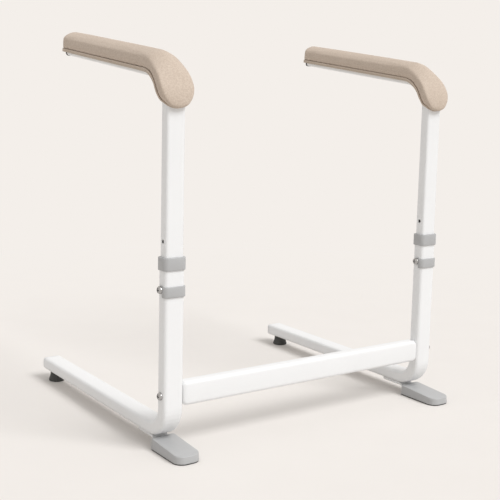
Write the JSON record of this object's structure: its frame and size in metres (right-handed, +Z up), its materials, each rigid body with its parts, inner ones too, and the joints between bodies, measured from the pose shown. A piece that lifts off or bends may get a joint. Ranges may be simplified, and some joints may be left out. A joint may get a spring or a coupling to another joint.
{
  "type": "chair standing aid",
  "caption": "Free-standing frame for rising from a chair: bent tube sides joined by a low bar, with uprights that slide to set the height and long padded armrests.",
  "frame": {"origin": "on the floor, under the centre of the object's bounding box", "axes": "+X across, from the left side frame to the right as the picture shows them; +Y back along the legs and armrests, towards the chair; +Z up"},
  "size_m": [0.679, 0.5972, 0.7442],
  "materials": {
    "white_paint": "white gloss powder coat",
    "white_plastic": "white, smooth",
    "grey_plastic": "mid grey, fine satin",
    "dark_plastic": "near black, satin",
    "black_rubber": "black, matte",
    "steel": "bright plated",
    "beige_cover": "beige, fine grain, matte",
    "beige_plastic": "darker beige, satin"
  },
  "bodies": {
    "base_frame": {"crossbar": "white_paint", "left_base_tube": "white_paint", "left_leg_end_plug": "white_plastic", "left_height_collar": "grey_plastic", "left_height_clip": "grey_plastic", "left_crossbar_screw": "steel", "left_crossbar_insert": "white_plastic", "left_front_foot_bracket": "white_paint", "left_front_foot": "grey_plastic", "left_front_foot_sole": "black_rubber", "left_front_foot_screw_1": "steel", "left_front_foot_screw_2": "steel", "left_rear_foot": "black_rubber", "left_rear_foot_screw": "steel", "left_rear_foot_nut": "steel", "right_base_tube": "white_paint", "right_leg_end_plug": "white_plastic", "right_height_collar": "grey_plastic", "right_height_clip": "grey_plastic", "right_crossbar_screw": "steel", "right_crossbar_insert": "white_plastic", "right_front_foot_bracket": "white_paint", "right_front_foot": "grey_plastic", "right_front_foot_sole": "black_rubber", "right_front_foot_screw_1": "steel", "right_front_foot_screw_2": "steel", "right_rear_foot": "black_rubber", "right_rear_foot_screw": "steel", "right_rear_foot_nut": "steel"},
    "left_upright": {"left_upper_tube": "white_paint", "left_glide_plug": "grey_plastic", "left_arm_end_plug": "dark_plastic", "left_armrest_shell": "beige_plastic", "left_armrest_pad": "beige_cover", "left_armrest_screw_1": "steel", "left_armrest_screw_2": "steel", "left_armrest_screw_3": "steel"},
    "left_locking_screw": {"left_adjusting_screw": "steel"},
    "right_upright": {"right_upper_tube": "white_paint", "right_glide_plug": "grey_plastic", "right_arm_end_plug": "dark_plastic", "right_armrest_shell": "beige_plastic", "right_armrest_pad": "beige_cover", "right_armrest_screw_1": "steel", "right_armrest_screw_2": "steel", "right_armrest_screw_3": "steel"},
    "right_locking_screw": {"right_adjusting_screw": "steel"}
  },
  "joints": [
    {"name": "left_height", "type": "slide", "parent": "base_frame", "child": "left_upright", "axis": [0, 0, 1], "range_m": [-0.084, 0.042]},
    {"name": "left_locking_screw_travel", "type": "slide", "parent": "base_frame", "child": "left_locking_screw", "axis": [1, 0, 0], "range_m": [0, 0.0022]},
    {"name": "right_height", "type": "slide", "parent": "base_frame", "child": "right_upright", "axis": [0, 0, 1], "range_m": [-0.084, 0.042]},
    {"name": "right_locking_screw_travel", "type": "slide", "parent": "base_frame", "child": "right_locking_screw", "axis": [1, 0, 0], "range_m": [0, 0.0022]}
  ]
}
